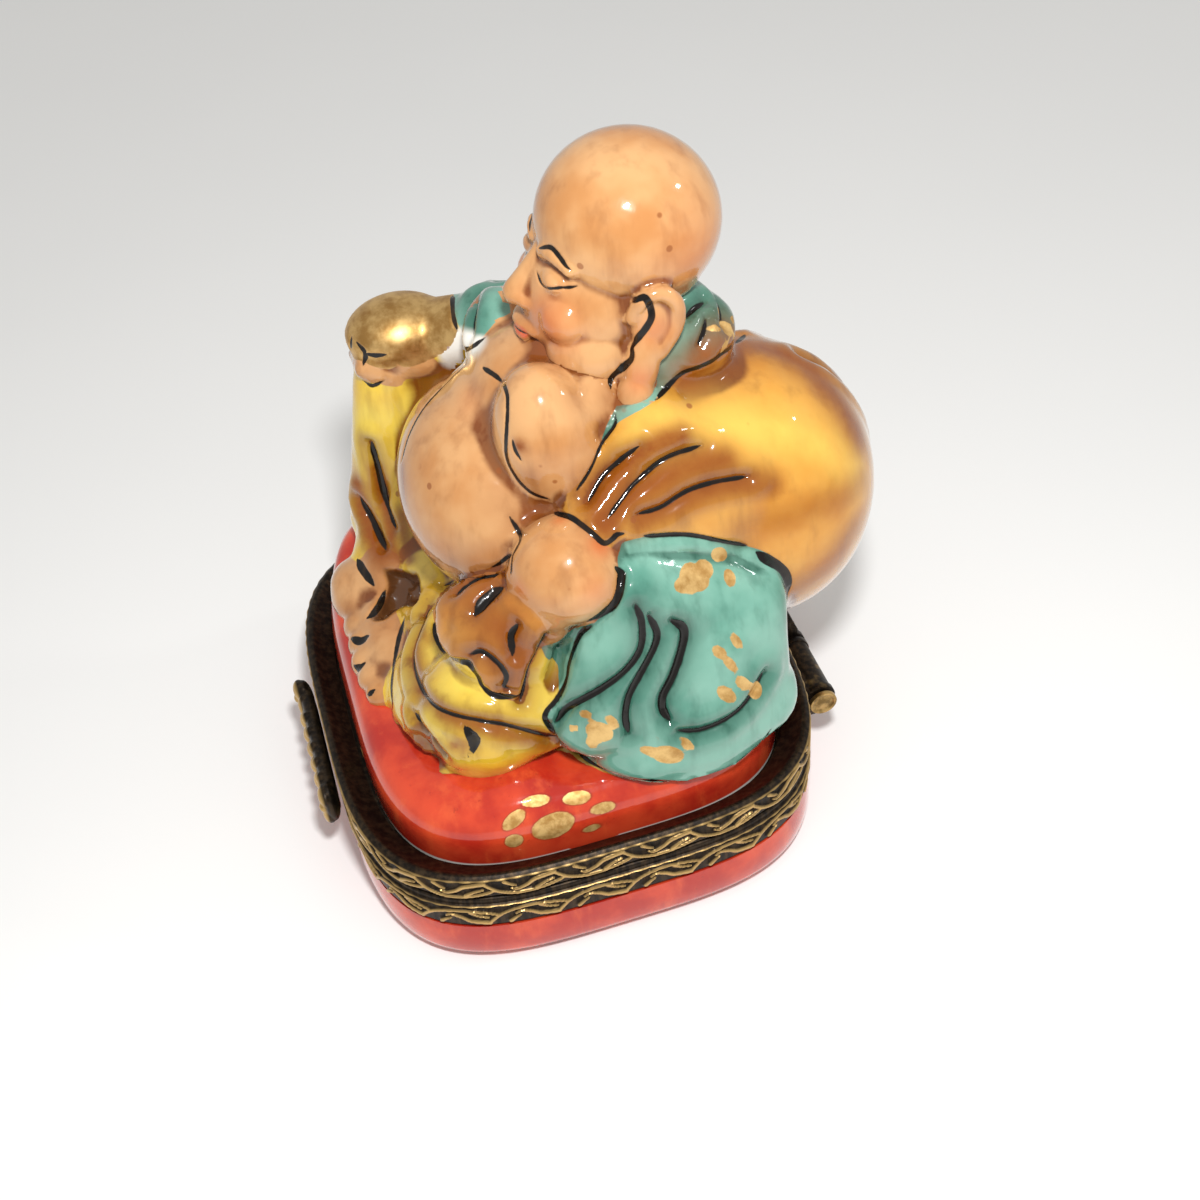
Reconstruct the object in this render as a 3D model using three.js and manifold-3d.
// A hinged porcelain box whose lid is a seated laughing Buddha with a sack, on a cushion.
// Millimetres. X runs across the figure, -Y is the front that he faces, +Z is up.
// The origin is the centre of the underside of the box.
import * as THREE from "three";
import { mergeVertices } from "three/addons/utils/BufferGeometryUtils.js";
import { ConvexGeometry } from "three/addons/geometries/ConvexGeometry.js";
import Module from "manifold-3d";

const wasm = await Module();
wasm.setup();

// Plan of the box: a rounded rectangle drawn as a superellipse
const width = 46.2;
const depth = 42;
const squareness = 3.6;
const planSteps = 32;

// Heights of the box and its two metal bands
const bandFoot = 5.2;
const parting = 8.9;
const partingGap = 0.3;
const bandTop = 11.7;
const ledgeDrop = 1.4;
const cushionTop = 15.5;
const floorThickness = 2.2;
const fitGap = 0.3;

// Insets from the plan's edge
const bandThickness = 0.8;
const cupWall = 3.4;
const cushionInset = 2.64;
const lidMouthInset = 6;
const mouthFoot = 7.7;

// How much the cushion rises towards the figure's right, for each millimetre across
const cushionSlope = 0.1;

// Hinge at the back
const hingeY = depth / 2 + 1.65;
const hingeZ = 7.7;
const knuckleRadius = 1.3;
const pinRadius = 0.5;
const hingeHalf = 10.4;
const middleKnuckleHalf = 3.2;

// Clasp at the front
const claspHalf = 8;
const claspThickness = 1.6;
const claspZ = 7.8;

// Head: centre of the skull, how far it leans back, and the skull's half size
const skull = [0, 10.7, 54.6];
const headTilt = 13;
const skullHalf = [6.7, 7.1, 6.7];

// Toes of the left foot, from the big one: [x, radius]
const toes = [[-5.3, 1.75], [-2.6, 1.4], [-0.4, 1.3], [1.7, 1.2], [3.6, 1.1]];

// The sack's spread mouth, below the fist
const sackMouth = [11.4, -5.4, 26.6];
const ruffles = 6;

// Points where the robe's hem lies on the cushion
const hemLine = [
  [13.4, -11, 15.1], [12.8, -5.6, 15.9], [14.4, -2.5, 15.5], [18.8, 3.4, 14.6], [19.3, 7.6, 14.6],
  [15.6, 15.4, 14.8], [10.5, 17.2, 15.2],
];

const degrees = Math.PI / 180;

const glaze = { roughness: 0.12, metalness: 0 };
const aged = { roughness: 0.45, metalness: 0.9 };

// A manifold solid from a closed three.js geometry
function solid(geometry) {
  const bare = geometry.index ? geometry.clone() : geometry;
  bare.deleteAttribute("normal");
  bare.deleteAttribute("uv");
  const merged = mergeVertices(bare, 1e-5);
  return new wasm.Manifold(new wasm.Mesh({
    numProp: 3,
    vertProperties: Float32Array.from(merged.attributes.position.array),
    triVerts: Uint32Array.from(merged.index.array),
  }));
}

// A named mesh from a manifold solid
function piece(name, body, colour, finish) {
  const { vertProperties, triVerts, numProp } = body.getMesh();
  const points = new Float32Array((vertProperties.length / numProp) * 3);
  for (let i = 0; i < points.length / 3; i++) {
    for (let k = 0; k < 3; k++) {
      points[3 * i + k] = vertProperties[numProp * i + k];
    }
  }
  const geometry = new THREE.BufferGeometry();
  geometry.setAttribute("position", new THREE.BufferAttribute(points, 3));
  geometry.setIndex(new THREE.BufferAttribute(Uint32Array.from(triVerts), 1));
  const mesh = new THREE.Mesh(geometry, new THREE.MeshStandardMaterial({ color: colour, ...finish }));
  mesh.name = name;
  return mesh;
}

const union = (parts) => wasm.Manifold.union(parts);

// How finely a round form is divided: once more past each of these radii
const finerPast = [3.7, 6.7];
const fineness = (radius) => finerPast.filter((limit) => radius > limit).length + 1;

// An egg: an ellipsoid of three half sizes, turned about X, then Y, then Z, in degrees
function egg(centre, half, turn = [0, 0, 0], divisions = fineness((half[0] + half[1] + half[2]) / 3)) {
  const geometry = new THREE.IcosahedronGeometry(1, divisions);
  geometry.scale(...half);
  geometry.applyMatrix4(new THREE.Matrix4().makeRotationFromEuler(
    new THREE.Euler(turn[0] * degrees, turn[1] * degrees, turn[2] * degrees, "ZYX")));
  geometry.translate(...centre);
  return solid(geometry);
}

// A skin drawn tight over several balls, each given as [x, y, z, radius]
function draped(...balls) {
  const points = [];
  for (const [x, y, z, radius] of balls) {
    const ball = new THREE.IcosahedronGeometry(radius, radius < 7 ? 1 : 2);
    ball.translate(x, y, z);
    ball.deleteAttribute("normal");
    ball.deleteAttribute("uv");
    const corners = mergeVertices(ball).attributes.position;
    for (let i = 0; i < corners.count; i++) {
      points.push(new THREE.Vector3().fromBufferAttribute(corners, i));
    }
  }
  return solid(new ConvexGeometry(points));
}

// A limb: a tapered bar with round ends, from one point to another
function limb(from, to, startRadius, endRadius = startRadius) {
  const start = new THREE.Vector3(...from);
  const along = new THREE.Vector3(...to).sub(start);
  const length = along.length();
  const widest = Math.max(startRadius, endRadius);
  const around = Math.round(Math.min(12, 5 + 1.4 * widest));
  const capSteps = widest < 1.6 ? 1 : 3;
  const profile = [];
  for (let k = 0; k <= capSteps; k++) {
    const a = (k / capSteps) * 90 * degrees;
    profile.push(new THREE.Vector2(startRadius * Math.sin(a), -startRadius * Math.cos(a)));
  }
  for (let k = 0; k <= capSteps; k++) {
    const a = (k / capSteps) * 90 * degrees;
    profile.push(new THREE.Vector2(endRadius * Math.cos(a), length + endRadius * Math.sin(a)));
  }
  profile[0].x = 0;
  profile[profile.length - 1].x = 0;
  const geometry = new THREE.LatheGeometry(profile, around);
  geometry.applyQuaternion(new THREE.Quaternion().setFromUnitVectors(
    new THREE.Vector3(0, 1, 0), along.normalize()));
  geometry.translate(...from);
  return solid(geometry);
}

// A string of limbs through several points, tapering from the first radius to the last
function strand(points, startRadius, endRadius = startRadius) {
  const last = points.length - 1;
  const radius = (i) => startRadius + ((endRadius - startRadius) * i) / last;
  return points.slice(1).map((point, i) => limb(points[i], point, radius(i), radius(i + 1)));
}

// A solid turned round the box's plan. Each profile point is [inset from the plan's edge, height].
// A closed profile makes a band; an open one runs from the middle below to the middle above.
// raise(x, z), if given, lifts the upper points.
function planTurned(profile, isBand, raise = () => 0) {
  const positions = [];
  for (const [inset, z] of profile) {
    for (let i = 0; i < planSteps; i++) {
      const a = ((i + 0.5) / planSteps) * 2 * Math.PI;
      const c = Math.cos(a);
      const s = Math.sin(a);
      const x = (width / 2 - inset) * Math.sign(c) * Math.abs(c) ** (2 / squareness);
      const y = (depth / 2 - inset) * Math.sign(s) * Math.abs(s) ** (2 / squareness);
      positions.push(x, y, z + raise(x, z));
    }
  }
  const index = [];
  const rows = profile.length;
  for (let j = 0; j < (isBand ? rows : rows - 1); j++) {
    for (let i = 0; i < planSteps; i++) {
      const a = j * planSteps + i;
      const b = j * planSteps + ((i + 1) % planSteps);
      const c = ((j + 1) % rows) * planSteps + i;
      const d = ((j + 1) % rows) * planSteps + ((i + 1) % planSteps);
      index.push(a, b, d, a, d, c);
    }
  }
  if (!isBand) {
    const below = rows * planSteps;
    const low = profile[0][1];
    const high = profile[rows - 1][1];
    positions.push(0, 0, low + raise(0, low), 0, 0, high + raise(0, high));
    for (let i = 0; i < planSteps; i++) {
      const next = (i + 1) % planSteps;
      index.push(below, next, i);
      index.push(below + 1, (rows - 1) * planSteps + i, (rows - 1) * planSteps + next);
    }
  }
  const geometry = new THREE.BufferGeometry();
  geometry.setAttribute("position", new THREE.Float32BufferAttribute(positions, 3));
  geometry.setIndex(index);
  return solid(geometry);
}

// A bar along X, used for knuckles and the pin
function crossBar(x0, x1, radius, sides = 12) {
  const geometry = new THREE.CylinderGeometry(radius, radius, x1 - x0, sides);
  geometry.rotateZ(Math.PI / 2);
  geometry.translate((x0 + x1) / 2, hingeY, hingeZ);
  return solid(geometry);
}

function block(x0, x1, y0, y1, z0, z1) {
  const geometry = new THREE.BoxGeometry(x1 - x0, y1 - y0, z1 - z0);
  geometry.translate((x0 + x1) / 2, (y0 + y1) / 2, (z0 + z1) / 2);
  return solid(geometry);
}

// The porcelain cup, rebated round its rim for the metal band
function boxBase() {
  const rebate = bandThickness + fitGap;
  const rimZ = parting - partingGap / 2 - 0.35 - fitGap;
  return planTurned([
    [2.2, 0], [0.7, 0.5], [0, 2.4], [0.2, bandFoot - fitGap],
    [rebate, bandFoot - fitGap], [rebate, rimZ], [cupWall, rimZ],
    [cupWall, floorThickness + 1.2], [cupWall + 1.2, floorThickness],
  ], false);
}

// One knuckle with its web, joined to a band at the back
function knuckle(x0, x1, webZ0, webZ1) {
  const web = block(x0, x1, depth / 2 - 0.9, hingeY, webZ0, webZ1);
  return union([web, crossBar(x0, x1, knuckleRadius)])
    .subtract(crossBar(x0 - 1, x1 + 1, pinRadius + fitGap, 12));
}

function lowerMount() {
  const top = parting - partingGap / 2;
  const band = planTurned([
    [0, bandFoot], [0, top - 0.3], [0.25, top],
    [cupWall - 0.3, top], [cupWall - 0.3, top - 0.35], [bandThickness, top - 0.35], [bandThickness, bandFoot],
  ], true);
  const inner = middleKnuckleHalf + fitGap;
  const knuckles = [-1, 1].map((side) => {
    const ends = [side * inner, side * hingeHalf].sort((a, b) => a - b);
    return knuckle(...ends, bandFoot + 0.6, top);
  });
  return union([band, ...knuckles]).subtract(crossBar(-inner, inner, knuckleRadius + fitGap));
}

function upperMount() {
  const foot = parting + partingGap / 2;
  const seat = cushionInset - fitGap;
  const band = planTurned([
    [0, foot], [0, bandTop - 0.3], [0.3, bandTop], [0.8, bandTop - 0.1],
    [seat, bandTop - ledgeDrop], [seat, foot + 0.35], [seat + 1.4, foot + 0.35], [seat + 1.4, foot],
  ], true);
  const cleared = [-1, 1].map((side) => {
    const ends = [side * middleKnuckleHalf, side * (hingeHalf + fitGap)].sort((a, b) => a - b);
    return crossBar(...ends, knuckleRadius + fitGap);
  });
  const arm = block(-middleKnuckleHalf, middleKnuckleHalf, depth / 2 + fitGap, hingeY + 0.6, hingeZ, foot + 0.6)
    .subtract(crossBar(-hingeHalf, hingeHalf, pinRadius + fitGap));
  return union([band, arm, knuckle(-middleKnuckleHalf, middleKnuckleHalf, foot, bandTop - 1)])
    .subtract(union(cleared));
}

function hingePin() {
  const head = 0.45;
  return union([
    crossBar(-hingeHalf - fitGap - head, hingeHalf + fitGap + head, pinRadius, 12),
    ...[-1, 1].map((side) => {
      const ends = [side * (hingeHalf + fitGap), side * (hingeHalf + fitGap + head)].sort((a, b) => a - b);
      return crossBar(...ends, knuckleRadius * 0.92, 12);
    }),
  ]);
}

// The clasp: a plate with a scalloped outline and a lobe at each end
function clasp() {
  const outline = [];
  const steps = 16;
  for (let i = 0; i <= steps; i++) {
    const x = claspHalf * (1 - (2 * i) / steps);
    const lobe = Math.abs(x) > claspHalf - 3.2;
    const reach = lobe ? (claspHalf - 1.6 - Math.abs(x)) / 1.75 : Math.sin((x / 1.6) * Math.PI) * 0.25;
    outline.push([x, lobe ? 0.4 + 1.7 * Math.sqrt(Math.max(0, 1 - reach * reach)) : 1.6 + reach]);
  }
  const shape = new THREE.Shape([
    ...outline.map(([x, z]) => new THREE.Vector2(x, z)),
    ...outline.map(([x, z]) => new THREE.Vector2(-x, -z)),
  ]);
  const bevel = 0.4;
  const geometry = new THREE.ExtrudeGeometry(shape, {
    depth: claspThickness - 2 * bevel, bevelEnabled: true, bevelThickness: bevel, bevelSize: bevel,
    bevelOffset: -bevel, bevelSegments: 1, steps: 1,
  });
  geometry.rotateX(Math.PI / 2);
  geometry.translate(0, -depth / 2 - fitGap - bevel, claspZ);
  return solid(geometry);
}

// The cushion: higher on the figure's right, with a swell under the robe's hem
function cushion() {
  const foot = parting + partingGap / 2 + 0.35 + fitGap;
  const body = planTurned([
    [cushionInset, foot], [cushionInset, 12.4],
    [cushionInset + 0.5, 13.6], [cushionInset + 1.6, 14.6], [cushionInset + 4, 15.2], [cushionInset + 8, cushionTop],
  ], false, (x, z) => (z > 12 ? cushionSlope * (width / 2 - x) * 0.5 : 0));
  return [
    body,
    egg([-14, -10.2, 14], [6.2, 7.5, 6]),
    egg([13.6, -6.2, 13.4], [5.6, 6.5, 3]),
  ];
}

// Places a form of the head, given in the head's own upright frame with its origin in the skull
function inHead([x, y, z]) {
  const t = headTilt * degrees;
  return [
    skull[0] + x,
    skull[1] + y * Math.cos(t) + z * Math.sin(t),
    skull[2] - y * Math.sin(t) + z * Math.cos(t),
  ];
}

function head() {
  const lean = [-headTilt, 0, 0];
  const form = (centre, half) => egg(inHead(centre), half, lean);
  const bar = (from, to, r0, r1) => limb(inHead(from), inHead(to), r0, r1);
  const parts = [
    form([0, 0, 0], skullHalf),
    form([0, -1.8, -5.8], [5.9, 5.7, 6.4]),
    form([0, -5.4, -11], [2.3, 2, 1.8]),
    bar([0, -6.7, -3.2], [0, -7.7, -6], 0.7, 1.1),
    form([0, -7.7, -6.4], [1.3, 1.1, 0.95]),
    form([0, -7, -9.1], [2, 0.9, 0.8]),
  ];
  for (const side of [-1, 1]) {
    parts.push(
      form([side * 2.9, -2.2, -9], [3.5, 3.8, 3.5]),
      form([side * 3.2, -4.9, -6.4], [2.4, 2, 2.2]),
      form([side * 2.6, -6.1, -3.3], [1.5, 0.9, 0.8]),
      form([side * 6.3, 0.4, -4.6], [1.2, 1.9, 2.5]),
      form([side * 6.4, 0.6, -9], [1.2, 1.6, 3.9]),
    );
  }
  return parts;
}

function torso() {
  return [
    draped([0, 8, 25, 9.5], [0, 7.5, 36, 9.2], [-7.5, 6, 40.5, 4.6], [7, 8, 39.5, 4.6]),
    draped([0, 9.5, 44.5, 6.4], [2.4, 13.4, 44.6, 4.4], [-3, 12.6, 42.4, 4.8]),
    egg([0, 2.6, 40.3], [7.6, 6.1, 6.3]),
    egg([0, -2.6, 33.2], [9.9, 7.5, 8.9]),
    egg([-0.6, -1, 36.6], [7.2, 5.6, 7]),
    egg([5.3, 2, 41.2], [4.3, 4.1, 6.1], [8, 0, 0]),
    egg([-5.4, 2, 41.6], [4.1, 4, 5.7], [8, 0, 0]),
  ];
}

// The right arm is held forward at shoulder height, with an ingot in its hand
function rightArm() {
  const parts = [
    limb([-9, 4.4, 41], [-12.6, -2, 40.2], 3.9, 3.2),
    egg([-13.4, -5, 38.6], [3.2, 3.9, 2.6]),
    egg([-14, -6.2, 40.4], [3.7, 4.6, 2.9]),
    draped([-13.6, -8.2, 36, 2.8], [-13, 0.5, 37.5, 2.8], [-13.2, -11.6, 21.5, 2.4], [-12.6, -1, 21.5, 3.6]),
    draped([-13, -9.5, 23, 3], [-9.8, -12.4, 19.4, 2.5], [-14.5, -9, 18.5, 3]),
    limb([-15.6, -6.8, 35.5], [-15.2, -10.8, 21], 0.9, 1.1),
    limb([-15.2, -3.4, 36], [-15.8, -7.4, 20.5], 0.9, 1.2),
    limb([-15, 0.2, 36], [-16, -2.6, 20], 0.9, 1.2),
  ];
  for (let i = 0; i < 4; i++) {
    parts.push(limb([-11.4 - 1.5 * i, -7.6, 37.4], [-11.8 - 1.4 * i, -9.5, 39 - 0.3 * i], 0.95, 0.85));
  }
  return parts;
}

function legs() {
  const parts = [
    draped([-9, 8, 20.5, 7.5], [9, 8, 20.5, 7.5], [-8, -3, 19.5, 6], [8, -3, 19.5, 6]),
    draped([-9.5, 1, 20, 7.4], [-12.4, -9.2, 19, 4.6], [-14, 4, 18.4, 4]),
    egg([-9, -13.9, 16.6], [4.4, 3.6, 3.1]),
    draped([8.5, 0, 20.5, 7], [12, -7.4, 20.4, 5.6], [11.6, -8, 17.6, 4.6]),
    draped([9.8, -9.8, 18.4, 4.4], [4.2, -8.8, 20.4, 3.4], [4.6, -12.4, 16.6, 2.8]),
    draped([10, -10, 17.4, 3], [13, -11.8, 15.2, 1.2], [13.4, -8, 16, 2]),
    draped([4.6, -10, 17.2, 3], [-0.4, -13.4, 16.6, 2.6], [-4.6, -13.4, 16.8, 2.2]),
  ];
  for (const [x, radius] of toes) {
    parts.push(limb([x * 0.9, -13.6, 16.5], [x, -16.2 + 0.12 * Math.abs(x), 16.1], radius));
  }
  return parts;
}

// The left arm under its wide sleeve, with the sleeve's cloth down over the hip
function leftArm() {
  return [
    draped([12.8, 13.4, 25.6, 4.6], [12.7, 5, 31, 3.9], [14.6, 12, 17, 4.6], [15.6, 2.4, 17.4, 4]),
    draped([12.8, 4.8, 31, 3.8], [15.4, 0.6, 20, 3.6], [12, 2, 24, 4]),
    draped([6, 11.5, 22, 7.5], [12, 12.6, 19.5, 5.2], [4, 13.4, 17.5, 4.6]),
    ...strand([[15.4, 3.6, 30], [18.2, 0.6, 24], [18.6, -1.8, 18]], 1, 1.3),
    ...strand([[16.2, 6, 29], [19, 4.2, 22], [19.2, 3.4, 16]], 1, 1.3),
    ...strand([[16.4, 9.4, 27.5], [18.8, 8.6, 20.5], [18.8, 12, 16.6]], 1, 1.3),
    egg([12, 0.3, 33.2], [4.2, 4.2, 4.2]),
  ];
}

// The sack on the back, drawn to a neck in the left fist, its mouth spreading below
function sack() {
  const parts = [
    egg([3.6, 18.3, 29.8], [11, 10.6, 12.2]),
    draped([4.6, 15, 35, 8.4], [6.6, 11.5, 36, 6.4], [8.6, 8.4, 35.4, 4.6], [11.4, 3.4, 36, 2.3]),
    limb([11, 5.4, 38.6], [10, 13.6, 41.4], 1, 1.3),
    limb([12.2, 5.4, 36.8], [12.3, 14.6, 38.2], 1, 1.3),
    limb([12.4, 5.4, 34.8], [13.3, 15, 34.4], 1, 1.3),
  ];
  const mouth = new THREE.Vector3(...sackMouth);
  const facing = new THREE.Vector3(0.6, -0.6, 0.5).normalize();
  const across = new THREE.Vector3(0, 0, 1).cross(facing).normalize();
  const upward = facing.clone().cross(across);
  parts.push(egg(sackMouth, [3.6, 3.6, 4.2]));
  for (let i = 0; i < ruffles; i++) {
    const a = (i / ruffles) * 2 * Math.PI;
    const lobe = mouth.clone()
      .addScaledVector(across, 3 * Math.cos(a))
      .addScaledVector(upward, 3.9 * Math.sin(a));
    parts.push(egg(lobe.toArray(), [1.9, 1.9, 2.1]));
  }
  return parts;
}

// The robe's rolled hem, lying on the cushion from the left knee round to the back
function hem() {
  return strand(hemLine, 0.9);
}

// The hollow that the casting has inside, open below
function hollow() {
  return union([
    planTurned([[lidMouthInset, mouthFoot], [lidMouthInset, 11.4], [lidMouthInset + 1.6, 12.6]], false),
    egg([0.6, 4, 12], [11.4, 9.4, 17], [0, 0, 0], 2),
  ]);
}

function lidFigure() {
  const casting = union([
    ...cushion(), ...head(), ...torso(), ...rightArm(), ...legs(), ...leftArm(), ...sack(), ...hem(),
  ]);
  return casting.subtract(hollow());
}

const group = new THREE.Group();
group.add(
  piece("box_base", boxBase(), 0xc3503c, glaze),
  piece("lower_mount", lowerMount(), 0x5a4d3a, aged),
  piece("hinge_pin", hingePin(), 0xb08d57, aged),
  piece("lid_figure", lidFigure(), 0xdca36c, glaze),
  piece("upper_mount", upperMount(), 0x5a4d3a, aged),
  piece("clasp", clasp(), 0x5a4d3a, aged),
);

export default group;
